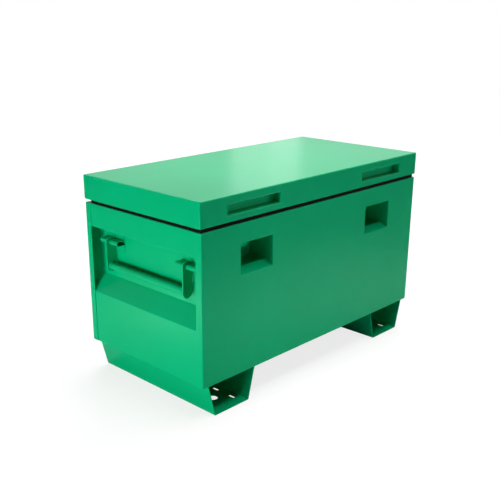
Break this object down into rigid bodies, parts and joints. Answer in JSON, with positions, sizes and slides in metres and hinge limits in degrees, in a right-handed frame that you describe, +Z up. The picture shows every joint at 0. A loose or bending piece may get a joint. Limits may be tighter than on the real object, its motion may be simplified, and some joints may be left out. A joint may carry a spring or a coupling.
{
  "type": "jobsite storage box",
  "caption": "Long steel jobsite chest with a hinged lid on gas struts, recessed padlock pockets, drop handles in end recesses and fork skids.",
  "frame": {"origin": "middle of the footprint, on the ground", "axes": "+X along the length, the front with the padlock pockets faces -Y, +Z up"},
  "size_m": [1.227, 0.609, 0.7605],
  "materials": {
    "green_paint": "satin powder coat",
    "seal_rubber": "matt",
    "strut_black": "gloss",
    "zinc_steel": "zinc plated",
    "bright_steel": "polished"
  },
  "bodies": {
    "chest": {"end_panel_left": "green_paint", "end_panel_right": "green_paint", "floor_pan": "green_paint", "front_panel": "green_paint", "handle_bracket_left_front": "green_paint", "handle_bracket_left_rear": "green_paint", "handle_bracket_right_front": "green_paint", "handle_bracket_right_rear": "green_paint", "handle_pin_left_front": "zinc_steel", "handle_pin_left_rear": "zinc_steel", "handle_pin_right_front": "zinc_steel", "handle_pin_right_rear": "zinc_steel", "hinge_body_leaf": "zinc_steel", "hinge_pin": "bright_steel", "hinge_shelf": "zinc_steel", "lock_pocket_left": "green_paint", "lock_pocket_right": "green_paint", "lock_staple_left": "green_paint", "lock_staple_right": "green_paint", "rear_panel": "green_paint", "rim_rail_front": "green_paint", "rim_rail_left": "green_paint", "rim_rail_rear": "green_paint", "rim_rail_right": "green_paint", "skid_left": "green_paint", "skid_right": "green_paint", "strut_bracket_left": "zinc_steel", "strut_bracket_right": "zinc_steel", "weatherstrip": "seal_rubber"},
    "lid": {"hasp_left": "green_paint", "hasp_right": "green_paint", "hinge_lid_leaf": "zinc_steel", "lid_grip_left": "green_paint", "lid_grip_right": "green_paint", "lid_hinge_rail": "green_paint", "lid_shell": "green_paint", "lid_stiffener_left": "green_paint", "lid_stiffener_middle": "green_paint", "lid_stiffener_right": "green_paint", "strut_lid_bracket_left": "zinc_steel", "strut_lid_bracket_right": "zinc_steel"},
    "handle_left": {"handle_arm_left_front": "green_paint", "handle_arm_left_rear": "green_paint", "handle_grip_left": "green_paint"},
    "strut_tube_left": {"strut_cylinder_left": "strut_black"},
    "strut_piston_left": {"strut_rod_left": "bright_steel"},
    "handle_right": {"handle_arm_right_front": "green_paint", "handle_arm_right_rear": "green_paint", "handle_grip_right": "green_paint"},
    "strut_tube_right": {"strut_cylinder_right": "strut_black"},
    "strut_piston_right": {"strut_rod_right": "bright_steel"}
  },
  "joints": [
    {"name": "lid_hinge", "type": "hinge", "parent": "chest", "child": "lid", "pos_m": [0, 0.3, 0.66555], "axis": [-1, 0, 0], "range_deg": [0, 85]},
    {"name": "left_handle_swing", "type": "hinge", "parent": "chest", "child": "handle_left", "pos_m": [-0.58, 0, 0.523], "axis": [0, 1, 0], "range_deg": [-2, 115]},
    {"name": "left_strut_swing", "type": "hinge", "parent": "chest", "child": "strut_tube_left", "pos_m": [-0.534, 0, 0.50555], "axis": [-1, 0, 0], "range_deg": [0, 3.94]},
    {"name": "left_strut_slide", "type": "slide", "parent": "strut_tube_left", "child": "strut_piston_left", "axis": [0, 0.7568, 0.6536], "range_m": [0, 0.11313]},
    {"name": "right_handle_swing", "type": "hinge", "parent": "chest", "child": "handle_right", "pos_m": [0.58, 0, 0.523], "axis": [0, -1, 0], "range_deg": [-2, 115]},
    {"name": "right_strut_swing", "type": "hinge", "parent": "chest", "child": "strut_tube_right", "pos_m": [0.534, 0, 0.50555], "axis": [-1, 0, 0], "range_deg": [0, 3.94]},
    {"name": "right_strut_slide", "type": "slide", "parent": "strut_tube_right", "child": "strut_piston_right", "axis": [0, 0.7568, 0.6536], "range_m": [0, 0.11313]}
  ],
  "couplings": [
    {"joint": "left_strut_swing", "follows": "lid_hinge", "ratio": 0.046247},
    {"joint": "left_strut_slide", "follows": "lid_hinge", "m_per_rad": 0.076189},
    {"joint": "right_strut_swing", "follows": "lid_hinge", "ratio": 0.046247},
    {"joint": "right_strut_slide", "follows": "lid_hinge", "m_per_rad": 0.076189}
  ]
}
